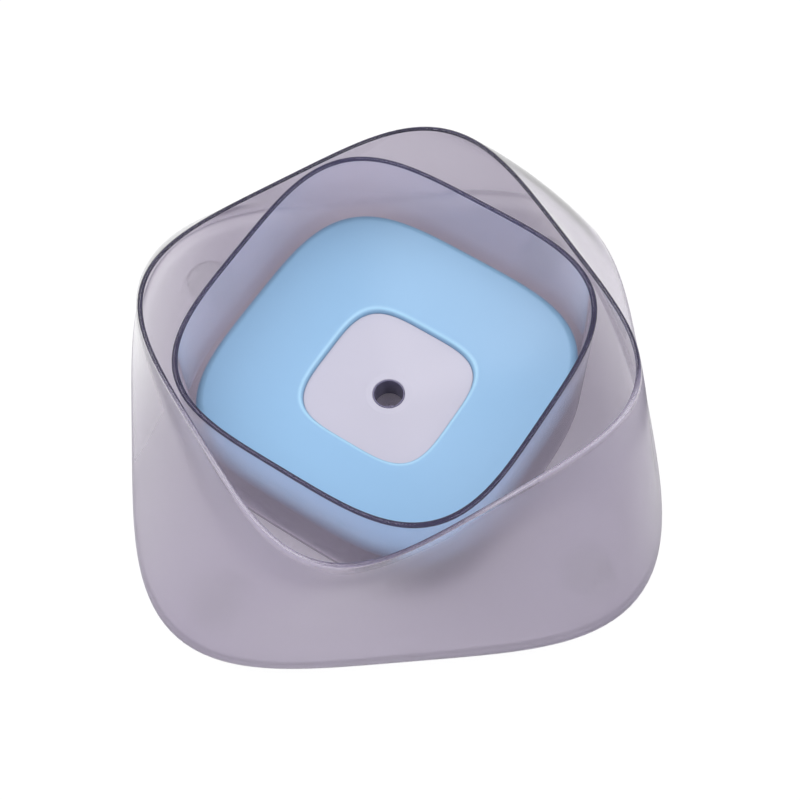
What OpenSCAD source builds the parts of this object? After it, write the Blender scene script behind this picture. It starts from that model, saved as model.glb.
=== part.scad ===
// Floating-disc water bowl: a twisted soft-square shell, a turned cup that stands in it,
// and a hollow float that rides up and down in the cup with the water.
// Millimetres, +Z up, origin in the middle of the base at the ground.
// Every outline is a soft square: a superellipse given by its width across the flats.

/* [Cup] */
// Width of the cup across its flats, outside, at the rim
cup_rim_w = 143; // [110:1:180]
// How much narrower the cup is at its base, on each side
cup_draft = 0.7; // [0.3:0.1:3]
// Height of the cup from its foot to the top of its rim
cup_h = 75.9; // [65:0.1:100]
// Thickness of the cup's wall
cup_wall = 2; // [1.5:0.1:3]
// Thickness of the cup's floor
cup_floor = 2.4; // [1.8:0.1:4]
// Radius of the cup's outer bottom edge
cup_bottom_r = 9; // [6:0.5:14]
// Squareness of the cup's outline, 2 is round
cup_power = 3.7; // [2.5:0.1:6]
// Turn of the cup against the shell's base, in degrees
cup_turn = 52.5; // [40:0.5:60]
// Width of the raised middle of the cup's floor, at its foot
punt_w = 100; // [70:1:105]
// Rise of the step around the raised middle
punt_step = 3.6; // [2.5:0.1:6]
// Further rise from the step to the centre of the floor
punt_dome = 3.9; // [1:0.1:6]
// Run of the step's slope
punt_run = 4; // [3:0.5:8]
// Radius of the moulding mark in the middle of the floor
gate_r = 2.2; // [1:0.1:4]
// Height of the moulding mark
gate_h = 0.5; // [0.3:0.1:1]

/* [Shell] */
// Gap between the cup's corners and the shell's sides at the rim
rim_gap = 3; // [1:0.1:12]
// How much wider the shell is at its base than at its rim, on each side
shell_flare = 26; // [10:0.5:40]
// How far the shell's rim lies below the cup's rim
rim_step = 0.5; // [0:0.1:5]
// Thickness of the shell's wall
shell_wall = 1.8; // [1.4:0.1:3]
// Thickness of the shell's floor
shell_floor = 2.4; // [1.8:0.1:4]
// Radius of the shell's outer bottom edge
shell_bottom_r = 10; // [6:0.5:16]
// Squareness of the shell's outline, 2 is round
shell_power = 3.95; // [2.5:0.05:6]
// Turn of the shell's rim against its base, in degrees
rim_turn = 27; // [0:0.5:40]
// How the turn grows with height: 1 is even, more brings it nearer the rim
turn_ease = 1.7; // [1:0.1:2.5]
// Height of the rib on the shell's floor that keeps the cup in place
rib_h = 2.6; // [1.5:0.1:3]
// Thickness of that rib
rib_t = 2.2; // [1.5:0.1:4]
// Clearance between the rib and the hollow under the cup
rib_gap = 0.4; // [0.2:0.1:1]

/* [Foot pads] */
// Diameter of a foot pad
pad_d = 20; // [10:0.5:24]
// Thickness of a foot pad
pad_t = 2; // [1.5:0.1:4]
// How deep a pad sits in its pocket
pad_sink = 0.8; // [0.4:0.1:1]
// Clearance around a pad in its pocket
pad_gap = 0.2; // [0.1:0.1:0.5]
// Rounded edge of a pad, as a chamfer
pad_chamfer = 0.5; // [0.2:0.1:0.8]
// Distance of a pad's edge from the edge of the flat underside, at the corner
pad_inset = 5; // [3:0.5:20]

/* [Float] */
// Clearance between the float and the cup's wall, on each side
float_gap = 1; // [0.6:0.1:4]
// Clearance under the float when it lies on the cup's floor
float_rest = 0.3; // [0.2:0.1:1]
// Height of the float at its outer edge
float_h = 36.9; // [32:0.1:45]
// Thickness of the float's moulded walls
float_wall = 1.6; // [1.2:0.1:2.4]
// Thickness of the cover's and the panel's dished faces
cover_t = 2; // [1.5:0.1:3]
// Radius of the cover's soft outer edge
cover_edge_r = 3; // [2:0.5:5]
// Depth of the cover's side below its soft edge
cover_skirt = 1.2; // [0.8:0.1:4]
// How far the cover falls from its outer edge to the lip around the panel
dish_fall = 8.8; // [6:0.1:11]
// How hollow the dish is: 1 is a straight slope
dish_curve = 1.15; // [1:0.05:1.5]
// Depth of the lip above the panel
lip_drop = 2.9; // [1.2:0.1:4]
// Run of the soft lip's round
lip_run = 2.8; // [1:0.1:4]
// Straight part of the lip below its round
lip_flat = 0.3; // [0.1:0.1:1]
// Width of the white panel across its flats
panel_w = 60.2; // [40:0.1:80]
// Squareness of the panel's outline
panel_power = 3.9; // [2.5:0.1:6]
// How far the panel falls from its edge to the water hole
panel_fall = 6.2; // [3:0.1:8]
// How the funnel curves: 1 is a straight slope, less is steeper at the edge
panel_curve = 0.85; // [0.7:0.05:1.2]
// Clearance between the panel and the cover
panel_gap = 0.2; // [0.1:0.1:0.5]
// Width of the ledge under the panel's edge
ledge_w = 2.5; // [1.5:0.1:5]
// Inside diameter of the water tube
hole_d = 12.2; // [8:0.1:18]
// Wall of the water tube at its top
tube_wall = 0.6; // [0.5:0.1:1.5]
// Width of the shoulder on the tube that carries the panel
shoulder_w = 1.6; // [1:0.1:3]
// Clearance between the tube and the panel's hole
tube_gap = 0.1; // [0.1:0.05:0.4]
// Width of the panel's round middle beyond the shoulder
boss_edge = 1; // [0.5:0.1:3]
// Room above the hull's lip, which stands inside the cover's side
weld_room = 0.3; // [0.2:0.1:0.6]
// Clearance between the hull's lip and the cover
weld_gap = 0.15; // [0.1:0.05:0.3]

/* [Hidden] */
// Points around an outline, a multiple of 8 so that one lies on each corner
SIDES = 48;
// Steps in a quarter round and in half a rim
ARC = 4;
BORE_FN = 96;
// How far a cutter stands out of the face that it cuts
CUT = 1;

// Heights
shell_z = pad_t - pad_sink;
seat_z = shell_z + shell_floor;
cup_top = seat_z + cup_h;
shell_top = cup_top - rim_step;
floor_z = seat_z + cup_floor;
hull_z = floor_z + float_rest;
edge_z = hull_z + float_h;
skirt_z = edge_z - cover_edge_r - cover_skirt;
lip_z = edge_z - dish_fall;
panel_z = lip_z - lip_drop;
hole_z = panel_z - panel_fall;

// Widths across the flats
cup_base_w = cup_rim_w - 2 * cup_draft;
float_w = cup_base_w - 2 * cup_wall - 2 * float_gap;
corner_off = 45 + cup_turn - rim_turn;
cup_corner = soft_r(cup_rim_w / 2, cup_power, 45);
shell_rim_w = 2 * (shell_wall + (cup_corner + rim_gap) / soft_r(1, shell_power, corner_off));
shell_base_w = shell_rim_w + 2 * shell_flare;
opening_w = panel_w + 2 * panel_gap;

// Radii round the water hole
bore_r = hole_d / 2;
tube_r = bore_r + tube_wall;
shoulder_r = tube_r + shoulder_w;
boss_w = 2 * (shoulder_r + boss_edge);

// Dimple in the middle of the moulding mark
dimple_r = gate_r / 4;

// Distance from the centre to a soft square's edge at angle a, for half its width
function soft_r(half, power, a) =
    half / pow(pow(abs(cos(a)), power) + pow(abs(sin(a)), power), 1 / power);

// One closed outline of the soft square at height z
function ring(half, power, turn, z) =
    [for (i = [0:SIDES - 1])
        let (a = 360 * i / SIDES, r = soft_r(half, power, a))
        [r * cos(a + turn), r * sin(a + turn), z]];

function flat(points) = [for (p = points) [p[0], p[1]]];
function mix(a, b, t) = a + (b - a) * t;

// Two triangles for each step between neighbouring outlines
function band(k, n) =
    [for (i = [0:SIDES - 1])
        let (j = (i + 1) % SIDES, a = k * SIDES + i, b = k * SIDES + j,
             c = ((k + 1) % n) * SIDES + j, d = ((k + 1) % n) * SIDES + i)
        each [[a, d, c], [a, c, b]]];

// A solid skinned over outlines that start under the middle and end above it
module loft(rings) {
    n = len(rings);
    polyhedron(
        points = [for (r = rings) each r],
        faces = concat(
            [[for (i = [0:SIDES - 1]) i]],
            [for (k = [0:n - 2]) each band(k, n)],
            [[for (i = [SIDES - 1:-1:0]) (n - 1) * SIDES + i]]));
}

// A ring-shaped solid skinned over outlines that come back to the first one
module loft_ring(rings) {
    n = len(rings);
    polyhedron(
        points = [for (r = rings) each r],
        faces = [for (k = [0:n - 1]) each band(k, n)]);
}

// Shell: straight flaring wall whose outline turns as it rises
function shell_half(z) =
    mix(shell_base_w, shell_rim_w,
        (z - shell_z - shell_bottom_r) / (shell_top - shell_z - shell_bottom_r)) / 2;
function shell_turn(z) = rim_turn * pow((z - shell_z) / (shell_top - shell_z), turn_ease);
function shell_ring(inset, z) =
    ring(shell_half(z) - inset, shell_power, shell_turn(min(z, shell_top)), z);
function shell_round(inset, r, z0) =
    [for (k = [0:ARC]) let (a = 90 * k / ARC)
        shell_ring(inset + r * (1 - sin(a)), z0 + r * (1 - cos(a)))];
function shell_rim() =
    [for (k = [1:2 * ARC - 1]) let (a = 90 * k / ARC, r = shell_wall / 2)
        shell_ring(r * (1 - cos(a)), shell_top - r + r * sin(a))];

WALL_STEPS = 7;
module shell_body() {
    r_in = shell_bottom_r - shell_wall;
    rim_low = shell_top - shell_wall / 2;
    out_low = shell_z + shell_bottom_r;
    in_low = seat_z + r_in;
    loft(concat(
        shell_round(0, shell_bottom_r, shell_z),
        [for (k = [1:WALL_STEPS]) shell_ring(0, mix(out_low, rim_low, k / WALL_STEPS))],
        shell_rim(),
        [for (k = [WALL_STEPS:-1:1]) shell_ring(shell_wall, mix(in_low, rim_low, k / WALL_STEPS))],
        [for (k = [ARC:-1:0]) let (a = 90 * k / ARC)
            shell_ring(shell_wall + r_in * (1 - sin(a)), seat_z + r_in * (1 - cos(a)))]));
}

// Rib that stands in the hollow under the cup, clear of its sloping step
rib_half = (punt_w - cup_floor) / 2 - punt_run * rib_h / punt_step - rib_gap;
module seat_rib() {
    translate([0, 0, seat_z - shell_floor / 2])
        linear_extrude(height = rib_h + shell_floor / 2)
            difference() {
                polygon(flat(ring(rib_half, cup_power, cup_turn, 0)));
                polygon(flat(ring(rib_half - rib_t, cup_power, cup_turn, 0)));
            }
}

// Pads lie at the corners of the flat underside
underside_half = shell_half(shell_z) - shell_bottom_r;
pad_reach = soft_r(underside_half, shell_power, 45) - pad_inset - pad_d / 2;
module at_pad(k) {
    rotate([0, 0, 45 + 90 * k]) translate([pad_reach, 0, 0]) children();
}

module outer_shell() {
    color([0.70, 0.67, 0.73, 0.5])
        difference() {
            union() {
                shell_body();
                seat_rib();
            }
            for (k = [0:3])
                at_pad(k)
                    translate([0, 0, shell_z - CUT])
                        cylinder(h = pad_sink + CUT, r = pad_d / 2 + pad_gap, $fn = BORE_FN);
        }
}

module foot_pad(k) {
    r = pad_d / 2;
    c = pad_chamfer;
    color([0.66, 0.64, 0.70, 0.6])
        at_pad(k)
            rotate_extrude($fn = BORE_FN)
                polygon([[0, 0], [r - c, 0], [r, c], [r, pad_t], [0, pad_t]]);
}
module foot_pad_1() { foot_pad(0); }
module foot_pad_2() { foot_pad(1); }
module foot_pad_3() { foot_pad(2); }
module foot_pad_4() { foot_pad(3); }

// Cup: nearly upright wall on a floor whose middle is raised
function cup_half(z) = mix(cup_base_w, cup_rim_w, (z - seat_z) / cup_h) / 2;
function cup_ring(inset, z) = ring(cup_half(z) - inset, cup_power, cup_turn, z);

// Rise of the floor, from the foot of the step inwards, as [half width, rise, power]
CENTRE_W = 26;
function punt(grow) =
    let (foot = punt_w / 2 + grow, top = foot - punt_run, inner = CENTRE_W / 2)
    concat(
        [[foot, 0, cup_power]],
        [for (t = [0:0.25:1])
            [mix(top, inner, t), punt_step + punt_dome * (1 - pow(1 - t, 2)), mix(cup_power, 2, t)]]);
function punt_rings(grow, z) =
    [for (p = punt(grow)) ring(p[0], p[2], cup_turn, z + p[1])];
function reverse(list) = [for (i = [len(list) - 1:-1:0]) list[i]];

module inner_cup() {
    r_in = cup_bottom_r - cup_wall;
    rim_r = cup_wall / 2;
    rim_low = cup_top - rim_r;
    color([0.62, 0.60, 0.68, 0.5])
        difference() {
            union() {
                loft(concat(
                    reverse(punt_rings(-cup_floor / 2, seat_z)),
                    [for (k = [0:ARC]) let (a = 90 * k / ARC)
                        cup_ring(cup_bottom_r * (1 - sin(a)), seat_z + cup_bottom_r * (1 - cos(a)))],
                    [cup_ring(0, rim_low)],
                    [for (k = [1:2 * ARC - 1]) let (a = 90 * k / ARC)
                        cup_ring(rim_r * (1 - cos(a)), rim_low + rim_r * sin(a))],
                    [cup_ring(cup_wall, rim_low)],
                    [for (k = [ARC:-1:0]) let (a = 90 * k / ARC)
                        cup_ring(cup_wall + r_in * (1 - sin(a)), floor_z + r_in * (1 - cos(a)))],
                    punt_rings(0, floor_z)));
                translate([0, 0, floor_z + punt_step + punt_dome - cup_floor / 2])
                    cylinder(h = gate_h + cup_floor / 2, r = gate_r, $fn = BORE_FN);
            }
            translate([0, 0, floor_z + punt_step + punt_dome + gate_h])
                sphere(r = dimple_r, $fn = 24);
        }
}

// Float: the cover is a dish with a soft outer edge and a lip around the panel
function float_ring(half, z) = ring(half, cup_power, cup_turn, z);
function lip_power(half) =
    mix(panel_power, cup_power, (half - opening_w / 2) / (float_w / 2 - opening_w / 2));
function dish_ring(half, z) = ring(half, lip_power(half), cup_turn, z);
// The dish's height above the lip, for a share t of the way out
function dish_rise(t) = dish_fall * pow(t, dish_curve);

module float_cover() {
    edge = float_w / 2;
    crest = edge - cover_edge_r;
    lip = opening_w / 2;
    brow = lip + lip_run;
    ledge_in = lip - ledge_w;
    ledge_z = panel_z - cover_t;
    wall_in = edge - float_wall;
    color([0.62, 0.79, 0.93])
        loft_ring(concat(
            // underside, from the ledge outwards
            [dish_ring(ledge_in, ledge_z - cover_t), dish_ring(brow, ledge_z - cover_t)],
            [for (t = [0.2, 0.6, 0.9])
                dish_ring(mix(brow, crest, t), lip_z - cover_t + dish_rise(t))],
            [float_ring(crest, edge_z - cover_t), float_ring(wall_in, edge_z - cover_edge_r),
             float_ring(wall_in, skirt_z), float_ring(edge, skirt_z)],
            // soft outer edge
            [for (k = [0:ARC]) let (a = 90 * k / ARC)
                float_ring(edge - cover_edge_r * (1 - cos(a)), edge_z - cover_edge_r * (1 - sin(a)))],
            // dished face, inwards
            [for (t = [0.85, 0.65, 0.45, 0.25, 0])
                dish_ring(mix(brow, crest, t), lip_z + dish_rise(t))],
            // round of the lip, then the ledge that carries the panel
            [for (a = [30, 60, 90])
                dish_ring(brow - lip_run * sin(a), lip_z - (lip_drop - lip_flat) * (1 - cos(a)))],
            [dish_ring(lip, ledge_z), dish_ring(ledge_in, ledge_z)]));
}

// Panel: a shallow funnel whose outline goes from soft square to round
function funnel(t) = panel_fall * pow(t, panel_curve);
function panel_ring(t, z) =
    ring(mix(panel_w, boss_w, t) / 2, mix(panel_power, 2, t), cup_turn, z);
module float_panel() {
    low = hole_z - cover_t;
    color([0.86, 0.86, 0.90])
        difference() {
            loft(concat(
                [panel_ring(1, low)],
                [for (t = [0.75, 0.5, 0.25]) panel_ring(t, panel_z - cover_t - funnel(t))],
                [ring(panel_w / 2 - ledge_w, panel_power, cup_turn, panel_z - cover_t)],
                [panel_ring(0, panel_z - cover_t)],
                [for (t = [0, 0.03, 0.25, 0.5, 0.75, 1]) panel_ring(t, panel_z - funnel(t))]));
            translate([0, 0, low - CUT])
                cylinder(h = cover_t + 2 * CUT, r = tube_r + tube_gap, $fn = BORE_FN);
        }
}

// Hull: a hollow tray that follows the cup's floor, with the water tube in its middle
module float_hull() {
    edge = float_w / 2;
    step = edge - float_wall - weld_gap;
    r_out = cup_bottom_r - cup_wall;
    r_in = r_out - float_wall;
    under = hull_z + punt_step + punt_dome;
    inner_z = hull_z + float_wall;
    lip_top = edge_z - cover_edge_r - weld_room;
    color([0.25, 0.24, 0.30])
        difference() {
            union() {
                loft(concat(
                    reverse(punt_rings(float_gap, hull_z)),
                    [for (k = [0:ARC]) let (a = 90 * k / ARC)
                        float_ring(edge - r_out * (1 - sin(a)), hull_z + r_out * (1 - cos(a)))],
                    [float_ring(edge, skirt_z), float_ring(step, skirt_z),
                     float_ring(step, lip_top), float_ring(step - float_wall, lip_top)],
                    [for (k = [ARC:-1:0]) let (a = 90 * k / ARC)
                        float_ring(step - float_wall - r_in * (1 - sin(a)), inner_z + r_in * (1 - cos(a)))],
                    punt_rings(float_gap + float_wall, inner_z)));
                translate([0, 0, under])
                    cylinder(h = hole_z - cover_t - under, r = shoulder_r, $fn = BORE_FN);
                translate([0, 0, under])
                    cylinder(h = hole_z - under, r = tube_r, $fn = BORE_FN);
            }
            translate([0, 0, under - CUT])
                cylinder(h = hole_z - under + 2 * CUT, r = bore_r, $fn = BORE_FN);
        }
}

outer_shell();
inner_cup();
float_cover();
float_panel();
float_hull();
foot_pad_1();
foot_pad_2();
foot_pad_3();
foot_pad_4();
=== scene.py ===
# %% [markdown]
# # A water bowl with a rising float
#
# The bowl has three main mouldings in clear smoky plastic: a wide outer shell whose soft square
# outline turns as it rises, a straight square cup that stands inside it, and a flat hollow float
# that lies in the cup. The float is closed by a dished light blue cover with an off-white panel
# in its middle, and water wells up through the hole there.
#
# The construction comes in as a fixed frame. This file replaces its plain faceted mouldings by
# smooth ones of the same form and gives every surface its finish.

# %% Load the frame
import math
from collections import namedtuple

import bmesh
import bpy
from mathutils import Euler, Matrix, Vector


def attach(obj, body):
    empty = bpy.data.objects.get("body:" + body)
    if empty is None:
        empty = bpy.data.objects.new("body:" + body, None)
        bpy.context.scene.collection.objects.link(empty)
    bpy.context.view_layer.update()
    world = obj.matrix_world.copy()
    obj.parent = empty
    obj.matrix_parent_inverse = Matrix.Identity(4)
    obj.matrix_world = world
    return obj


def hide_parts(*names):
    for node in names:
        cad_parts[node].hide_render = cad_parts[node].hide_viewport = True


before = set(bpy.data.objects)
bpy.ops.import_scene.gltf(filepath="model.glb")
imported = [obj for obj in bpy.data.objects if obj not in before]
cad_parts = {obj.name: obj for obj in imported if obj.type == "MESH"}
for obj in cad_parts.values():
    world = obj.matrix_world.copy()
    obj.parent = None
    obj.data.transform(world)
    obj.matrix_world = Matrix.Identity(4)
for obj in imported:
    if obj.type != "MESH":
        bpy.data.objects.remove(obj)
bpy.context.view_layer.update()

print("Nodes:", ", ".join(sorted(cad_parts)))

# %% [markdown]
# ## Soft squares
#
# Every outline of this bowl is a soft square, which a designer would draw as a superellipse: one
# number sets how square it is, with 2 for a circle. A wall is a stack of such outlines, each with
# its own width, height and turn. So a wall is made here by extruding a circle of edges from one
# outline to the next. Each vertex remembers its place around the outline in a layer, and the
# extrusion copies that number on to the next ring. A second layer holds a mark, which tells the
# finish what kind of surface this is, such as the frosted outside of the shell, or where the
# cover's lip gets a painted highlight.

# %% Outlines and skins
MM = 0.001
SPOKES = 192
SHARP = math.radians(38)

# half is half the width across the flats and z the height, both in millimetres. turn is the
# outline's turn in degrees, and lead is the turn of its first vertex, the same unless given.
# mark is for the finish: how frosted a surface is, or the painted highlight on the cover's lip.
Outline = namedtuple("Outline", "half z power turn lead mark", defaults=[None, 0.0])


def soft_radius(half, power, angle):
    """Distance from the centre to the edge of a soft square, for half its width."""
    across, along = abs(math.cos(angle)), abs(math.sin(angle))
    return half / (across**power + along**power) ** (1 / power)


def put_on(outline, verts, spoke, mark):
    """Moves each vertex to where its spoke meets the outline, and gives it the outline's mark."""
    turn = math.radians(outline.turn)
    lead = turn if outline.lead is None else math.radians(outline.lead)
    for vert in verts:
        angle = vert[spoke] + lead
        radius = soft_radius(outline.half, outline.power, angle - turn) * MM
        vert.co = (radius * math.cos(angle), radius * math.sin(angle), outline.z * MM)
        vert[mark] = outline.mark


def extruded(bm, edges):
    """Extrudes a loop of edges and returns the new loop's vertices and edges."""
    made = bmesh.ops.extrude_edge_only(bm, edges=edges)["geom"]
    verts = [item for item in made if isinstance(item, bmesh.types.BMVert)]
    fresh = set(verts)
    loop = [
        item for item in made
        if isinstance(item, bmesh.types.BMEdge) and fresh.issuperset(item.verts)
    ]
    return verts, loop


def skin(outlines):
    """A mesh skinned over outlines, and the loop of edges on the first of them."""
    bm = bmesh.new()
    spoke = bm.verts.layers.float.new("spoke")
    mark = bm.verts.layers.float.new("mark")
    bmesh.ops.create_circle(bm, segments=SPOKES, radius=1)
    for vert in bm.verts:
        vert[spoke] = math.atan2(vert.co.y, vert.co.x)
    first = loop = bm.edges[:]
    put_on(outlines[0], bm.verts, spoke, mark)
    for outline in outlines[1:]:
        verts, loop = extruded(bm, loop)
        put_on(outline, verts, spoke, mark)
    return bm, first


def finished(bm, name, body, node, material):
    """Closes the seams, shades the mesh and makes it the piece that stands for its CAD node."""
    bmesh.ops.remove_doubles(bm, verts=bm.verts, dist=0.004 * MM)
    bmesh.ops.recalc_face_normals(bm, faces=bm.faces)
    for face in bm.faces:
        face.smooth = True
    for edge in bm.edges:
        edge.smooth = len(edge.link_faces) == 2 and edge.calc_face_angle() < SHARP
    open_edges = sum(len(edge.link_faces) != 2 for edge in bm.edges)
    mesh = bpy.data.meshes.new(name)
    bm.to_mesh(mesh)
    bm.free()
    mesh.materials.append(material)
    piece = bpy.data.objects.new(name, mesh)
    bpy.context.collection.objects.link(piece)
    piece.modifiers.new("even_shading", "WEIGHTED_NORMAL").keep_sharp = True
    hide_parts(node)
    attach(piece, body)
    print(f"{name}: {len(mesh.polygons)} faces, {open_edges} open edges")
    return piece


def mix(a, b, share):
    """The value a share of the way from a to b."""
    return a + (b - a) * share


def steps(count, start=0):
    """Even shares from 0 to 1 in count steps, from the step numbered start."""
    return [k / count for k in range(start, count + 1)]


def rounded(corner, radius, first, last, count=8):
    """Points of an arc, as (outwards, up) from its centre, between two angles in degrees."""
    angles = [math.radians(mix(first, last, share)) for share in steps(count)]
    return [(corner[0] + radius * math.cos(a), corner[1] + radius * math.sin(a)) for a in angles]


# %% [markdown]
# ## Driving sizes
#
# The smooth pieces repeat the sizes of the construction, in millimetres. Heights build up from
# the ground: the pads, the shell's floor, the cup's floor and the float on top of it.

# %% Sizes
PAD_H, PAD_SINK, PAD_R, PAD_GAP, PAD_EDGE, PAD_INSET = 2.0, 0.8, 10.0, 0.2, 0.5, 5.0
SHELL_FLOOR, SHELL_WALL, SHELL_BOTTOM_R, SHELL_POWER = 2.4, 1.8, 10.0, 3.95
SHELL_FLARE, RIM_TURN, TURN_EASE, RIM_STEP, RIM_GAP = 26.0, 27.0, 1.7, 0.5, 3.0
CUP_RIM_W, CUP_DRAFT, CUP_H, CUP_WALL, CUP_FLOOR = 143.0, 0.7, 75.9, 2.0, 2.4
CUP_BOTTOM_R, CUP_POWER, CUP_TURN = 9.0, 3.7, 52.5
PUNT_W, PUNT_STEP, PUNT_DOME, PUNT_RUN, CENTRE_R = 100.0, 3.6, 3.9, 4.0, 13.0
RIB_H, RIB_T, RIB_GAP = 2.6, 2.2, 0.4
GATE_R, GATE_H = 2.2, 0.5
FLOAT_GAP, FLOAT_REST, FLOAT_H, FLOAT_WALL, COVER_T = 1.0, 0.3, 36.9, 1.6, 2.0
COVER_EDGE_R, COVER_SKIRT, DISH_FALL, DISH_CURVE = 3.0, 1.2, 8.8, 1.15
LIP_DROP, LIP_RUN, LIP_FLAT = 2.9, 2.8, 0.3
PANEL_W, PANEL_POWER, PANEL_FALL, PANEL_CURVE = 60.2, 3.9, 6.2, 0.85
PANEL_GAP, LEDGE_W = 0.2, 2.5
HOLE_R, TUBE_WALL, SHOULDER_W, TUBE_GAP, BOSS_EDGE = 6.1, 0.6, 1.6, 0.1, 1.0
WELD_ROOM, WELD_GAP = 0.3, 0.15

shell_z = PAD_H - PAD_SINK
seat_z = shell_z + SHELL_FLOOR
cup_top = seat_z + CUP_H
shell_top = cup_top - RIM_STEP
floor_z = seat_z + CUP_FLOOR
hull_z = floor_z + FLOAT_REST
edge_z = hull_z + FLOAT_H
skirt_z = edge_z - COVER_EDGE_R - COVER_SKIRT
lip_z = edge_z - DISH_FALL
panel_z = lip_z - LIP_DROP
hole_z = panel_z - PANEL_FALL

cup_base_w = CUP_RIM_W - 2 * CUP_DRAFT
float_half = cup_base_w / 2 - CUP_WALL - FLOAT_GAP
cup_corner = soft_radius(CUP_RIM_W / 2, CUP_POWER, math.radians(45))
corner_off = math.radians(45 + CUP_TURN - RIM_TURN)
shell_rim_half = SHELL_WALL + (cup_corner + RIM_GAP) / soft_radius(1, SHELL_POWER, corner_off)
shell_base_half = shell_rim_half + SHELL_FLARE
lip_half = PANEL_W / 2 + PANEL_GAP
tube_r = HOLE_R + TUBE_WALL
shoulder_r = tube_r + SHOULDER_W
boss_r = shoulder_r + BOSS_EDGE
print(f"Shell {2 * shell_base_half:.1f} wide at its base, {2 * shell_rim_half:.1f} at its rim")
print(f"Float's edge at {edge_z:.1f}, its hole at {hole_z:.1f} above the ground")

# %% [markdown]
# ## The camera
#
# The camera comes before the finishes, because every later choice is judged through it. It looks
# down on the bowl from the front, about 63 degrees above the horizon, through a long lens, and is
# rolled a little. A long lens keeps the far rim nearly as large as the near one.

# %% Camera
EYE = Vector((-9.7, -296.14, 601.1)) * MM
LOOK_AT = Vector((5.09, 9.45, 0)) * MM
ROLL = math.radians(-1.86)
LENS = 69.44

camera_data = bpy.data.cameras.new("camera")
camera_data.lens = LENS
camera_data.clip_start = 0.01
camera = bpy.data.objects.new("camera", camera_data)
camera.rotation_mode = "QUATERNION"
camera.location = EYE
aim = (LOOK_AT - EYE).to_track_quat("-Z", "Y")
camera.rotation_quaternion = aim @ Euler((0, 0, ROLL)).to_quaternion()
bpy.context.collection.objects.link(camera)
bpy.context.scene.camera = camera
print(f"Camera {(LOOK_AT - EYE).length:.3f} m from the bowl")

# %% [markdown]
# ## Light and ground
#
# Clear plastic shows what lies behind it, so its look is decided by the surroundings. The real
# bowl stands on white in even light, so the world and the floor are white to the camera. Through
# the plastic, though, the floor is painted: pale mauve under the bowl, partly the floor's own grey
# and partly painted shade of the bowl, with painted light making it lighter to the left and to the
# front, white to the sides and to the front, and a painted shadow under the middle of the float,
# where hardly any light comes. A mirror would show a bright, bluish studio, which gives the
# polished rims their navy tone. The Light Path node tells these looks apart. The light that falls
# on the bowl stays plain: a soft world and two large lamps, at a level at which a colour renders
# about as it is written.


# %% Helpers for nodes
WHITE = (1, 1, 1, 1)


def maths(tree, operation, *operands):
    """A Math node's output. Each operand is a socket or a number."""
    node = tree.nodes.new("ShaderNodeMath")
    node.operation = operation
    for slot, value in enumerate(operands):
        if isinstance(value, (int, float)):
            node.inputs[slot].default_value = value
        else:
            tree.links.new(value, node.inputs[slot])
    return node.outputs[0]


def blended(tree, factor, first, second):
    """The first colour, or the second where factor is 1. Each is a socket or a colour."""
    node = tree.nodes.new("ShaderNodeMix")
    node.data_type = "RGBA"
    tree.links.new(factor, node.inputs["Factor"])
    for label, value in (("A", first), ("B", second)):
        if isinstance(value, tuple):
            node.inputs[label].default_value = value
        else:
            tree.links.new(value, node.inputs[label])
    return node.outputs["Result"]


def ranged(tree, value, start, end, low=0.0, curve="LINEAR"):
    """low as far as start, 1 from end on, and rising between them."""
    node = tree.nodes.new("ShaderNodeMapRange")
    node.interpolation_type = curve
    for label, number in (("From Min", start), ("From Max", end), ("To Min", low)):
        node.inputs[label].default_value = number
    tree.links.new(value, node.inputs["Value"])
    return node.outputs[0]


# %% What is looked at
def looked_at(tree, through):
    """1 where the camera looks, through where it looks through plastic, 0 for light on a piece."""
    path = tree.nodes.new("ShaderNodeLightPath").outputs
    plain = maths(tree, "MAXIMUM", path["Is Camera Ray"], path["Is Glossy Ray"])
    weaker = maths(tree, "MULTIPLY_ADD", path["Is Transmission Ray"], through - 1, 1)
    unscattered = maths(tree, "LESS_THAN", path["Diffuse Depth"], 0.5)
    return maths(tree, "MULTIPLY", maths(tree, "MULTIPLY", plain, weaker), unscattered)


def shown(tree, factor, first, second, output):
    """Shows the first shader, or the second where factor is 1, at the tree's output."""
    blend = tree.nodes.new("ShaderNodeMixShader")
    for slot, socket in enumerate((factor, first.outputs[0], second.outputs[0])):
        tree.links.new(socket, blend.inputs[slot])
    tree.links.new(blend.outputs[0], tree.nodes[output].inputs["Surface"])


# %% World
# The light of the surroundings, and what a mirror would show of them
WORLD_LEVEL = 0.62
SKY = (1.4, 1.35, 1.9, 1)

world = bpy.data.worlds.new("studio")
world.use_nodes = True
tree = world.node_tree
soft = tree.nodes["Background"]
soft.inputs["Color"].default_value = (0.97, 0.98, 1.0, 1)
soft.inputs["Strength"].default_value = WORLD_LEVEL
seen = tree.nodes.new("ShaderNodeBackground")
path = tree.nodes.new("ShaderNodeLightPath").outputs
mirrored = maths(tree, "SUBTRACT", path["Is Glossy Ray"], path["Is Transmission Ray"])
mirrored.node.use_clamp = True
tree.links.new(blended(tree, mirrored, WHITE, SKY), seen.inputs["Color"])
shown(tree, looked_at(tree, 1.0), soft, seen, "World Output")
bpy.context.scene.world = world
print("World level", WORLD_LEVEL)

# %% The floor's tone through plastic
# Its tone, partly painted shade of the bowl, and how much painted light makes it lighter per metre
# to the left and to the front
MAUVE = (0.547, 0.521, 0.583, 1)
LEFT_LIGHT, FRONT_LIGHT = 1.4, 0.6
# How far from the middle the painted shade under the bowl gives way to white, in metres, how that
# changes towards the back and the front, and how softly the sides and the front meet
CLEAR_FROM, CLEAR_LEAN, CLEAR_LATER, CLEAR_ROUND = (0.087, 0.132), 0.2, 0.01, 0.03
# How far the painted shadow under the middle of the float reaches, and how dark it is
FLOAT_SHADOW_FROM, FLOAT_SHADOW = (0.025, 0.05), 0.3


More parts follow.
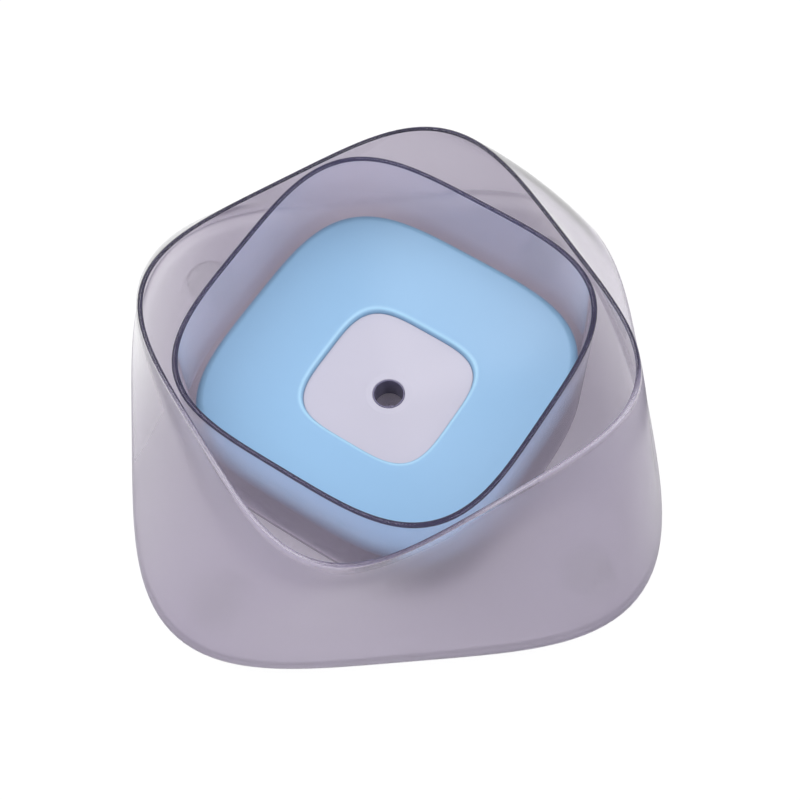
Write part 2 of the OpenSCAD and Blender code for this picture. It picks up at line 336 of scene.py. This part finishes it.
def tone_through_plastic(tree):
    """The colour of each place on the floor as seen through plastic, with painted shade, light and
    shadow in it.
    """
    place = tree.nodes.new("ShaderNodeTexCoord").outputs["Object"]
    apart = tree.nodes.new("ShaderNodeSeparateXYZ")
    tree.links.new(place, apart.inputs[0])
    x, y = apart.outputs["X"], apart.outputs["Y"]
    # Where the painted shade of the bowl gives way to white
    sideways = maths(tree, "MULTIPLY_ADD", y, CLEAR_LEAN, maths(tree, "ABSOLUTE", x))
    frontways = maths(tree, "MULTIPLY_ADD", y, -1, -CLEAR_LATER)
    away = maths(tree, "SMOOTH_MAX", sideways, frontways, CLEAR_ROUND)
    clear = ranged(tree, away, *CLEAR_FROM, curve="SMOOTHSTEP")
    # The painted shadow under the float, and the painted light to the left and the front
    centre = tree.nodes.new("ShaderNodeVectorMath")
    centre.operation = "LENGTH"
    tree.links.new(place, centre.inputs[0])
    lit = ranged(tree, centre.outputs["Value"], *FLOAT_SHADOW_FROM, low=FLOAT_SHADOW)
    lighter = maths(
        tree, "MULTIPLY_ADD", y, -FRONT_LIGHT, maths(tree, "MULTIPLY", x, -LEFT_LIGHT)
    )
    mauve = tree.nodes.new("ShaderNodeVectorMath")
    mauve.operation = "SCALE"
    mauve.inputs[0].default_value = MAUVE[:3]
    tree.links.new(maths(tree, "MULTIPLY_ADD", lit, lighter, lit), mauve.inputs["Scale"])
    return blended(tree, clear, mauve.outputs[0], WHITE)


# %% Floor
# How much of the floor's colour is its own, where it is seen plainly and through plastic
FLOOR_GLOW, UNDER_GLOW, GLOW_LEVEL = 0.88, 0.7, 1.08

ground = bpy.data.materials.new("white_ground")
ground.use_nodes = True
tree = ground.node_tree
paper = tree.nodes["Principled BSDF"]
paper.inputs["Base Color"].default_value = (0.66, 0.64, 0.67, 1)
paper.inputs["Roughness"].default_value = 1.0
paper.inputs["Specular IOR Level"].default_value = 0.0
glow = tree.nodes.new("ShaderNodeEmission")
glow.inputs["Strength"].default_value = GLOW_LEVEL
passed = tree.nodes.new("ShaderNodeLightPath").outputs["Is Transmission Ray"]
tree.links.new(blended(tree, passed, WHITE, tone_through_plastic(tree)), glow.inputs["Color"])
share = maths(tree, "MULTIPLY", looked_at(tree, UNDER_GLOW / FLOOR_GLOW), FLOOR_GLOW)
shown(tree, share, paper, glow, "Material Output")

bm = bmesh.new()
bmesh.ops.create_grid(bm, x_segments=1, y_segments=1, size=6)
bmesh.ops.translate(bm, verts=bm.verts, vec=(0, 0, -0.1 * MM))
mesh = bpy.data.meshes.new("floor")
bm.to_mesh(mesh)
bm.free()
mesh.materials.append(ground)
floor = bpy.data.objects.new("floor", mesh)
bpy.context.collection.objects.link(floor)
print("Floor", [round(length, 1) for length in floor.dimensions])


# %% Lamps
def lamp(name, place, size, watts, colour):
    """A large soft lamp that faces the bowl."""
    data = bpy.data.lights.new(name, "AREA")
    data.shape = "DISK"
    data.size = size
    data.energy = watts
    data.color = colour
    made = bpy.data.objects.new(name, data)
    made.location = place
    made.rotation_euler = (-Vector(place)).to_track_quat("-Z", "Y").to_euler()
    bpy.context.collection.objects.link(made)
    print(f"{name}: {watts} watts")


lamp("key_lamp", (-0.7, 0.4, 1.65), 1.6, 17.5, (1.0, 0.99, 0.98))
lamp("fill_lamp", (1.1, -0.35, 1.3), 1.6, 10, (0.97, 0.98, 1.0))

# Light that enters a rim runs down inside the wall, thrown from face to face, so it needs more
# bounces than usual before it is given up as black.
cycles = bpy.context.scene.cycles
cycles.max_bounces = cycles.glossy_bounces = cycles.transmission_bounces = 14
print("Bounces", cycles.max_bounces)

# %% [markdown]
# ## Finishes
#
# Moulded plastic is never quite even. Its gloss changes where it was handled, its skin has a
# fine grain from the mould, and a few specks of dust lie on it. Each of these is a small node
# group, so that every finish can use it with its own amounts.


# %% Node groups for moulded plastic
def new_group(name, inputs, outputs):
    """An empty node group with float sockets: inputs are (name, default), outputs are names."""
    tree = bpy.data.node_groups.new(name, "ShaderNodeTree")
    for label, value in inputs:
        socket = tree.interface.new_socket(label, in_out="INPUT", socket_type="NodeSocketFloat")
        socket.default_value = value
    for label in outputs:
        tree.interface.new_socket(label, in_out="OUTPUT", socket_type="NodeSocketFloat")
    return tree, tree.nodes.new("NodeGroupInput"), tree.nodes.new("NodeGroupOutput")


def noise(tree, scale):
    """The value of a noise on the piece's own coordinates. scale is a socket or a number."""
    place = tree.nodes.new("ShaderNodeTexCoord")
    node = tree.nodes.new("ShaderNodeTexNoise")
    node.inputs["Detail"].default_value = 1.0
    tree.links.new(place.outputs["Object"], node.inputs["Vector"])
    if isinstance(scale, (int, float)):
        node.inputs["Scale"].default_value = scale
    else:
        tree.links.new(scale, node.inputs["Scale"])
    return node.outputs["Fac"]


# How many patches there are in a metre: of gloss, of waves in the skin and of dusty places
GLOSS_PATCHES, WAVE_PATCHES, DUST_PATCHES = 22.0, 14.0, 30.0
# The noise above which a place is dusty
DUSTY_FROM = 0.56

moulded, taken, given = new_group(
    "moulded_skin",
    [("Roughness", 0.3), ("Spread", 0.1), ("Grain Scale", 900.0), ("Grain", 0.3), ("Waves", 0.3)],
    ["Roughness", "Height"],
)
cloudy = maths(moulded, "SUBTRACT", noise(moulded, GLOSS_PATCHES), 0.5)
uneven = maths(moulded, "MULTIPLY", cloudy, taken.outputs["Spread"])
moulded.links.new(
    maths(moulded, "ADD", taken.outputs["Roughness"], uneven), given.inputs["Roughness"]
)
grain = maths(
    moulded, "MULTIPLY", noise(moulded, taken.outputs["Grain Scale"]), taken.outputs["Grain"]
)
waves = maths(moulded, "MULTIPLY", noise(moulded, WAVE_PATCHES), taken.outputs["Waves"])
moulded.links.new(maths(moulded, "ADD", grain, waves), given.inputs["Height"])

dusty, taken, given = new_group("dust_specks", [("Scale", 60.0), ("Size", 0.06)], ["Mask"])
place = dusty.nodes.new("ShaderNodeTexCoord")
cells = dusty.nodes.new("ShaderNodeTexVoronoi")
dusty.links.new(place.outputs["Object"], cells.inputs["Vector"])
dusty.links.new(taken.outputs["Scale"], cells.inputs["Scale"])
near = maths(dusty, "LESS_THAN", cells.outputs["Distance"], taken.outputs["Size"])
some = maths(dusty, "GREATER_THAN", noise(dusty, DUST_PATCHES), DUSTY_FROM)
dusty.links.new(maths(dusty, "MULTIPLY", near, some), given.inputs["Mask"])
print("Groups:", ", ".join(group.name for group in bpy.data.node_groups))


# %% A finish to start from
def add_group(tree, group, **values):
    """Places a node group in a material, with its values."""
    node = tree.nodes.new("ShaderNodeGroup")
    node.node_tree = group
    for label, value in values.items():
        node.inputs[label.replace("_", " ")].default_value = value
    return node


def moulded_finish(name, bump, **skin_values):
    """A plastic with the moulded skin on its roughness and normal. Returns it with its shader."""
    material = bpy.data.materials.new(name)
    material.use_nodes = True
    tree = material.node_tree
    shader = tree.nodes["Principled BSDF"]
    surface = add_group(tree, moulded, **skin_values)
    tree.links.new(surface.outputs["Roughness"], shader.inputs["Roughness"])
    relief = tree.nodes.new("ShaderNodeBump")
    relief.inputs["Distance"].default_value = bump
    relief.inputs["Strength"].default_value = 1.0
    tree.links.new(surface.outputs["Height"], relief.inputs["Height"])
    tree.links.new(relief.outputs["Normal"], shader.inputs["Normal"])
    return material, tree, shader


# %% [markdown]
# ### Smoky clear plastic
#
# The shell and the cup are clear plastic with a grey-purple dye. A dye takes light away all
# along the light's path, so the tint is set inside the wall, as absorption, and only a little of
# it on the surface. A thin wall then looks pale, and the rim, where light runs down inside the
# wall, looks nearly black, as on the real bowl. The outsides are frosted, which softens what is
# seen through them, and the mark that each vertex carries says how much. A few specks of dust
# are raised a little in the relief.


# %% Smoky clear plastic
# How high a dust speck stands in the relief, next to the moulded skin's waves
DUST_HEIGHT = 8.0


def marked(tree):
    """The mark that the piece's vertices carry."""
    node = tree.nodes.new("ShaderNodeAttribute")
    node.attribute_name = "mark"
    return node.outputs["Fac"]


def smoky(name, polished, frosted, tint, dye, density):
    """Clear dyed plastic. dye is the colour that passes, and density is per metre."""
    material, tree, shader = moulded_finish(name, 0.02 * MM, Spread=0.03, Grain=0.0, Waves=1.0)
    # The frosting goes into the skin's roughness and the dust into its relief.
    surface = shader.inputs["Roughness"].links[0].from_node
    relief = shader.inputs["Normal"].links[0].from_node
    satin = maths(tree, "MULTIPLY_ADD", marked(tree), frosted - polished, polished)
    tree.links.new(satin, surface.inputs["Roughness"])
    dust = add_group(tree, dusty, Scale=45.0, Size=0.02).outputs["Mask"]
    height = maths(tree, "MULTIPLY_ADD", dust, DUST_HEIGHT, surface.outputs["Height"])
    tree.links.new(height, relief.inputs["Height"])
    shader.inputs["Base Color"].default_value = (*tint, 1)
    shader.inputs["Transmission Weight"].default_value = 1.0
    shader.inputs["IOR"].default_value = 1.5
    inside = tree.nodes.new("ShaderNodeVolumeAbsorption")
    inside.inputs["Color"].default_value = (*dye, 1)
    inside.inputs["Density"].default_value = density
    tree.links.new(inside.outputs[0], tree.nodes["Material Output"].inputs["Volume"])
    return material


shell_plastic = smoky("smoky_shell", 0.04, 0.55, (0.965, 0.95, 0.975), (0.60, 0.52, 0.70), 90)
cup_plastic = smoky("smoky_cup", 0.03, 0.22, (0.99, 0.965, 0.99), (0.60, 0.54, 0.76), 65)
# The cup mirrors a little more violet than the shell.
cup_plastic.node_tree.nodes["Principled BSDF"].inputs["Specular Tint"].default_value = (
    0.85, 0.8, 1, 1
)
print("Smoky plastics:", shell_plastic.name, cup_plastic.name)

# %% [markdown]
# ### The float's plastics
#
# The cover and the panel are opaque and satin, so they have a middling roughness and a fine
# grain. The tray below them is dark and glossier. The pads are soft and clear, and a little dull.

# %% Float plastics
blue_plastic, tree, shader = moulded_finish(
    "satin_blue", 0.01 * MM, Roughness=0.42, Spread=0.12, Grain=0.5, Waves=0.6
)
# The upper part of the lip round the panel gets a painted highlight, a lighter blue wherever the
# vertices' mark is set.
BLUE, PAINTED_HIGHLIGHT_BLUE = (0.27, 0.475, 0.69, 1), (0.43, 0.70, 0.90, 1)
tree.links.new(blended(tree, marked(tree), BLUE, PAINTED_HIGHLIGHT_BLUE), shader.inputs["Base Color"])

white_plastic, tree, shader = moulded_finish(
    "satin_white", 0.01 * MM, Roughness=0.45, Spread=0.1, Grain=0.5, Waves=0.4
)
shader.inputs["Base Color"].default_value = (0.535, 0.52, 0.60, 1)

dark_plastic, tree, shader = moulded_finish(
    "dark_tray", 0.02 * MM, Roughness=0.28, Spread=0.1, Grain=0.3, Waves=0.5
)
shader.inputs["Base Color"].default_value = (0.15, 0.138, 0.22, 1)

pad_rubber, tree, shader = moulded_finish(
    "clear_bumper", 0.03 * MM, Roughness=0.5, Spread=0.05, Grain=0.5, Waves=0.5
)
shader.inputs["Base Color"].default_value = (1, 1, 1, 1)
shader.inputs["Transmission Weight"].default_value = 1.0
shader.inputs["IOR"].default_value = 1.4
print("Finishes:", ", ".join(material.name for material in bpy.data.materials))

# %% [markdown]
# ## The outer shell
#
# The shell is the moulding that takes the most skill. Its wall leans inwards in a straight line
# while its outline turns, slowly near the base and faster near the rim, so every side is a
# gently twisted sheet. The skin runs from the underside up the outside, over the rounded rim,
# down the inside and over the low rib that keeps the cup in place.
#
# Light that enters the rim is thrown from face to face down the wall. Where the outside is
# polished it stays in and the rim looks dark. Where the outside is frosted just below the rim it
# leaves at once, and the rim is a thin bright line, as on both front sides of the real bowl.


# %% The shell's outlines
def shell_half(z):
    """Half the width of the shell's outside at a height. Below its round it keeps flaring."""
    low = shell_z + SHELL_BOTTOM_R
    return mix(shell_base_half, shell_rim_half, (z - low) / (shell_top - low))


def shell_outline(inset, z):
    """The shell's outline at a height, moved inwards from the outside."""
    share = (min(z, shell_top) - shell_z) / (shell_top - shell_z)
    return Outline(shell_half(z) - inset, z, SHELL_POWER, RIM_TURN * share**TURN_EASE)


def shell_round(inset, radius, low):
    """The outlines of a rounded bottom edge, from the flat outwards and up."""
    arc = rounded((0, radius), radius, -90, 0, 10)
    return [shell_outline(inset + radius - out, low + up) for out, up in arc]


def floor_outline(half, z):
    """An outline on the shell's frosted floor, turned with the cup, with its spokes unturned."""
    return Outline(half, z, CUP_POWER, CUP_TURN, 0, 1.0)


# %% The shell's frosting
# The outside's frosting below the band under the rim, and the height of that band
FROST_BELOW, FROST_FADE = 0.55, 8
# How polished the back is, and the depth over which that sets in
BACK_POLISH, BACK_FADE = 0.9, 60
# The polished stretch at the front: its middle, half its length, its fading and its height
FRONT_X, FRONT_HALF, FRONT_FADE, FRONT_H = -4, 38, 16, 8

rim_r = SHELL_WALL / 2
rim_low = shell_top - rim_r


def limited(share):
    """A share kept between 0 and 1."""
    return min(1, max(0, share))


def frosting(z):
    """How frosted the outside is at a height: most just below the rim, where light leaves it."""
    return mix(1, FROST_BELOW, limited((rim_low - z) / FROST_FADE - 1))


def polish(x, y, z):
    """How polished the wall is instead: at the back, and by the rim for a way at the front."""
    back = BACK_POLISH * limited(y / BACK_FADE + 0.5)
    along = limited((FRONT_HALF - abs(x - FRONT_X)) / FRONT_FADE)
    front = along * limited((z - rim_low) / FRONT_H + 1) * (y < 0)
    return max(back, front)


print("Frosting at the rim and at mid height:", frosting(rim_low), frosting(rim_low / 2))

# %% The shell's wall and floor
WALL_STEPS = 40
inner_r = SHELL_BOTTOM_R - SHELL_WALL
outside = [mix(shell_z + SHELL_BOTTOM_R, rim_low, share) for share in steps(WALL_STEPS, 1)]
inside = [mix(rim_low, seat_z + inner_r, share) for share in steps(WALL_STEPS)]
rib_half = (PUNT_W - CUP_FLOOR) / 2 - PUNT_RUN * RIB_H / PUNT_STEP - RIB_GAP
rib_top = seat_z + RIB_H

rings = shell_round(0, SHELL_BOTTOM_R, shell_z)
rings += [shell_outline(0, z) for z in outside[:-1]]
rings = [outline._replace(mark=frosting(outline.z)) for outline in rings]
rings.append(shell_outline(0, rim_low))
rings += [
    shell_outline(rim_r - out, rim_low + up) for out, up in rounded((0, 0), rim_r, 0, 180, 12)
][1:-1]
rings += [shell_outline(SHELL_WALL, z) for z in inside]
rings += [
    outline._replace(mark=1.0) for outline in shell_round(SHELL_WALL, inner_r, seat_z)[-2::-1]
]
rings += [floor_outline(half, z) for half, z in (
    (rib_half, seat_z), (rib_half, rib_top), (rib_half - RIB_T, rib_top),
    (rib_half - RIB_T, seat_z), (0, seat_z),
)]
bm, rim_loop = skin(rings)
print("Outlines of the shell:", len(rings))

# %% The shell's underside
# The underside is a flat face with a round pocket near each corner for a pad.
underside_half = shell_half(shell_z) - SHELL_BOTTOM_R
pad_reach = soft_radius(underside_half, SHELL_POWER, math.radians(45)) - PAD_INSET - PAD_R
pad_centres = [
    Vector((math.cos(turn), math.sin(turn), 0)) * pad_reach * MM
    for turn in (math.radians(45 + 90 * k) for k in range(4))
]
pockets = []
for centre in pad_centres:
    ring = bmesh.ops.create_circle(bm, segments=48, radius=(PAD_R + PAD_GAP) * MM)["verts"]
    bmesh.ops.translate(bm, verts=ring, vec=centre + Vector((0, 0, shell_z * MM)))
    pockets.append(list({edge for vert in ring for edge in vert.link_edges}))
bmesh.ops.triangle_fill(bm, edges=rim_loop + sum(pockets, []), use_beauty=True)
for edges in pockets:
    verts, loop = extruded(bm, edges)
    bmesh.ops.translate(bm, verts=verts, vec=(0, 0, PAD_SINK * MM))
    bmesh.ops.edgeloop_fill(bm, edges=loop)

# The underside is all frosted, so the pads hardly show from above.
mark = bm.verts.layers.float["mark"]
for vert in bm.verts:
    x, y, z = vert.co / MM
    if z < shell_z + PAD_SINK + 0.1:
        vert[mark] = 1.0
    elif z > seat_z + SHELL_BOTTOM_R:
        vert[mark] *= 1 - polish(x, y, z)
finished(bm, "outer_shell_moulding", "bowl", "outer_shell", shell_plastic)

# %% [markdown]
# ## Foot pads
#
# Four clear bumpers stand in pockets at the corners of the underside. They are hidden from above
# and have the usual form: a short cylinder with a rounded edge.

# %% Foot pads
# The thin layer that holds a pad in its pocket
GLUE = 0.05
for number, centre in enumerate(pad_centres, 1):
    bm = bmesh.new()
    tall = PAD_H - GLUE
    bmesh.ops.create_cone(
        bm, cap_ends=True, segments=64, radius1=PAD_R * MM, radius2=PAD_R * MM, depth=tall * MM
    )
    bmesh.ops.translate(bm, verts=bm.verts, vec=centre + Vector((0, 0, tall / 2 * MM)))
    lower = [
        edge for edge in bm.edges
        if all(vert.co.z < 0.1 * MM for vert in edge.verts)
    ]
    bmesh.ops.bevel(
        bm, geom=lower, offset=PAD_EDGE * MM, segments=4, profile=0.5, affect="EDGES", material=-1
    )
    finished(bm, f"foot_bumper_{number}", "bowl", f"foot_pad_{number}", pad_rubber)

# %% [markdown]
# ## The inner cup
#
# The cup is nearly upright, because the float has to slide in it. Its floor is raised in the
# middle, in a step and a shallow dome, and the float's tray has the same form, so that little
# water stays under the float. In the very middle is the round mark that the moulding leaves, a
# low boss with a dimple. The outside is frosted, and polished again towards the rim, so that the
# float shows only softly through it and the rim stays a clean dark line.


# %% The cup's outlines
def cup_half(z):
    """Half the width of the cup's outside at a height."""
    return mix(cup_base_w, CUP_RIM_W, (z - seat_z) / CUP_H) / 2


def cup_outline(inset, z):
    """The cup's outline at a height, moved inwards from the outside."""
    return Outline(cup_half(z) - inset, z, CUP_POWER, CUP_TURN)


def punt(grow, base):
    """The outlines of the raised middle from its foot inwards, wider by grow on each side."""
    foot = PUNT_W / 2 + grow
    top = foot - PUNT_RUN
    made = [Outline(foot, base, CUP_POWER, CUP_TURN)]
    for share in steps(16):
        rise = PUNT_STEP + PUNT_DOME * (1 - (1 - share) ** 2)
        half, power = mix(top, CENTRE_R, share), mix(CUP_POWER, 2, share)
        made.append(Outline(half, base + rise, power, CUP_TURN))
    return made


def disc(radius, z):
    """A round outline in the middle of the cup or the float."""
    return Outline(radius, z, 2, CUP_TURN)


print("Outlines of the raised middle:", len(punt(0, floor_z)))

# %% Inner cup
rim_r = CUP_WALL / 2
rim_low = cup_top - rim_r
inner_r = CUP_BOTTOM_R - CUP_WALL
centre_z = seat_z + PUNT_STEP + PUNT_DOME
mark_z = floor_z + PUNT_STEP + PUNT_DOME

rings = [disc(0, centre_z)] + punt(-CUP_FLOOR / 2, seat_z)[::-1]
rings += [
    cup_outline(CUP_BOTTOM_R - out, seat_z + up)._replace(mark=1.0)
    for out, up in rounded((0, CUP_BOTTOM_R), CUP_BOTTOM_R, -90, 0, 10)
]
rings += [
    cup_outline(0, mix(seat_z + CUP_BOTTOM_R, rim_low, share))._replace(mark=min(1, 3 - 3 * share))
    for share in steps(8, 1)
]
rings += [
    cup_outline(rim_r - out, rim_low + up) for out, up in rounded((0, 0), rim_r, 0, 180, 12)
][1:-1]
rings += [cup_outline(CUP_WALL, mix(rim_low, floor_z + inner_r, share)) for share in steps(8)]
rings += [
    cup_outline(CUP_WALL + inner_r - out, floor_z + up)
    for out, up in rounded((0, inner_r), inner_r, 0, -90, 10)
][1:]
rings += punt(0, floor_z)
# The gate mark, from its foot over its edge to the middle of its dimple
rings += [disc(radius, mark_z + up) for radius, up in (
    (GATE_R + 0.1, 0), (GATE_R, 0.1), (GATE_R, GATE_H - 0.15), (GATE_R - 0.15, GATE_H),
    (0.55, GATE_H), (0.4, GATE_H - 0.35), (0, GATE_H - 0.5),
)]
bm, _ = skin(rings)
finished(bm, "inner_cup_moulding", "bowl", "inner_cup", cup_plastic)

# %% [markdown]
# ## The float's cover
#
# The blue cover is a dish. Its outer edge is softly rounded and stands highest, and the face
# falls towards a lip that rounds over and drops to the ledge that carries the panel. Its outline
# goes from the cup's soft square to that of the panel on the way in. The skin comes back to its
# first outline, and the two are welded there. The mark on the lip paints a highlight on its upper
# part, as a lighter blue in the cover's colour.


# %% The cover's outlines
def dish_outline(half, z):
    """An outline of the dish, whose squareness goes from the panel's to the cup's."""
    share = (half - lip_half) / (float_half - lip_half)
    return Outline(half, z, mix(PANEL_POWER, CUP_POWER, share), CUP_TURN)


def dish_rise(share):
    """The dish's height above the lip, a share of the way out."""
    return DISH_FALL * share**DISH_CURVE


def side_outline(half, z):
    """An outline of the float's side."""
    return Outline(half, z, CUP_POWER, CUP_TURN)


print(f"The dish falls {dish_rise(1):.1f} mm, and {dish_rise(0.5):.1f} mm in its inner half")

# %% Float cover
# How far round the lip the painted highlight is at its brightest, and how far to each side it
# fades, in degrees
LIP_HIGHLIGHT_AT, LIP_HIGHLIGHT_FADE = 38, 25

crest = float_half - COVER_EDGE_R
brow = lip_half + LIP_RUN
lip_depth = LIP_DROP - LIP_FLAT
ledge_in = lip_half - LEDGE_W
ledge_z = panel_z - COVER_T
wall_in = float_half - FLOAT_WALL

rings = [dish_outline(ledge_in, ledge_z - COVER_T), dish_outline(brow, ledge_z - COVER_T)]
rings += [
    dish_outline(mix(brow, crest, share), lip_z - COVER_T + dish_rise(share))
    for share in (0.2, 0.4, 0.6, 0.8, 0.9)
]
rings += [
    side_outline(crest, edge_z - COVER_T), side_outline(wall_in, edge_z - COVER_EDGE_R),
    side_outline(wall_in, skirt_z), side_outline(float_half, skirt_z),
]
rings += [
    side_outline(crest + out, edge_z - COVER_EDGE_R + up)
    for out, up in rounded((0, 0), COVER_EDGE_R, 0, 90, 12)
]
rings += [
    dish_outline(mix(brow, crest, share), lip_z + dish_rise(share))
    for share in steps(40)[-2::-1]
]
# The lip's rounding, whose mark sets where its painted highlight goes
rings += [
    dish_outline(
        brow - LIP_RUN * math.sin(turn), lip_z - lip_depth * (1 - math.cos(turn))
    )._replace(mark=limited(1 - abs(math.degrees(turn) - LIP_HIGHLIGHT_AT) / LIP_HIGHLIGHT_FADE))
    for turn in (math.radians(mix(0, 90, share)) for share in steps(12, 1))
]
rings += [dish_outline(lip_half, ledge_z), dish_outline(ledge_in, ledge_z), rings[0]]
bm, _ = skin(rings)
finished(bm, "float_cover_moulding", "float", "float_cover", blue_plastic)

# %% [markdown]
# ## The float's panel
#
# The off-white panel is a shallow funnel. Its outline goes from a soft square at its edge to a
# circle round the water hole.


# %% Float panel
# How far the panel that is seen fills the clearance round it
SNUG = 0.15


def panel_outline(share, z):
    """An outline of the panel, from its edge at 0 to the round boss at 1."""
    half, power = mix(PANEL_W / 2 + SNUG, boss_r, share), mix(PANEL_POWER, 2, share)
    return Outline(half, z, power, CUP_TURN)


def funnel(share):
    """How far the panel has fallen a share of the way in."""
    return PANEL_FALL * share**PANEL_CURVE


# The rounding of the panel's edges
EASE = 0.25
bore = tube_r + TUBE_GAP
low = hole_z - COVER_T
rings = [disc(bore, low), disc(boss_r, low)]
rings += [panel_outline(share, panel_z - COVER_T - funnel(share)) for share in (0.75, 0.5, 0.25)]
rings += [
    Outline(PANEL_W / 2 - LEDGE_W, panel_z - COVER_T, PANEL_POWER, CUP_TURN),
    panel_outline(0, panel_z - COVER_T),
    panel_outline(0, panel_z - EASE),
]
rings += [
    Outline(PANEL_W / 2 + SNUG - EASE * (1 - math.cos(turn)), panel_z - EASE * (1 - math.sin(turn)),
            PANEL_POWER, CUP_TURN)
    for turn in (math.radians(30), math.radians(60))
]
rings += [
    panel_outline(share, panel_z - funnel(share)) for share in [0.01, 0.03] + steps(30, 2)
]
rings += [disc(bore + EASE, hole_z), disc(bore + 0.1, hole_z - 0.1), disc(bore, hole_z - EASE)]
rings += [disc(bore, low)]
bm, _ = skin(rings)
finished(bm, "float_panel_moulding", "float", "float_panel", white_plastic)

# %% [markdown]
# ## The float's tray
#
# The tray closes the float from below. It follows the cup's floor, its side ends in a lip that
# stands inside the cover, and the water tube rises from its middle, with a shoulder that carries
# the panel. One skin goes all the way round its section: under the floor, up the side, down the
# inside, up the shoulder and the tube, and down the bore to the start.

# %% Float tray
# The small edge at the top of the water tube
TUBE_EDGE = 0.15

step = float_half - FLOAT_WALL - WELD_GAP
outer_r = CUP_BOTTOM_R - CUP_WALL
inner_r = outer_r - FLOAT_WALL
under_z = hull_z + PUNT_STEP + PUNT_DOME
inner_z = hull_z + FLOAT_WALL
lip_top = edge_z - COVER_EDGE_R - WELD_ROOM
tray_in = step - FLOAT_WALL
shoulder_z = hole_z - COVER_T

rings = [disc(HOLE_R, under_z)] + punt(FLOAT_GAP, hull_z)[::-1]
rings += [
    side_outline(float_half - outer_r + out, hull_z + up)
    for out, up in rounded((0, outer_r), outer_r, -90, 0, 8)
]
rings += [
    side_outline(float_half, skirt_z), side_outline(step, skirt_z),
    side_outline(step, lip_top), side_outline(tray_in, lip_top),
]
rings += [
    side_outline(tray_in - inner_r + out, inner_z + up)
    for out, up in rounded((0, inner_r), inner_r, 0, -90, 6)
]
rings += punt(FLOAT_GAP + FLOAT_WALL, inner_z)
rings += [
    disc(shoulder_r, under_z + FLOAT_WALL), disc(shoulder_r, shoulder_z),
    disc(tube_r, shoulder_z), disc(tube_r, hole_z - TUBE_EDGE), disc(tube_r - TUBE_EDGE, hole_z),
    disc(HOLE_R + TUBE_EDGE, hole_z), disc(HOLE_R, hole_z - TUBE_EDGE), disc(HOLE_R, under_z),
]
bm, _ = skin(rings)
finished(bm, "float_tray_moulding", "float", "float_hull", dark_plastic)

# %% [markdown]
# ## The last lines
#
# The colours have to come out as they are written, so the view transform is the plain one.

# %% The view transform
bpy.context.scene.view_settings.view_transform = "Standard"
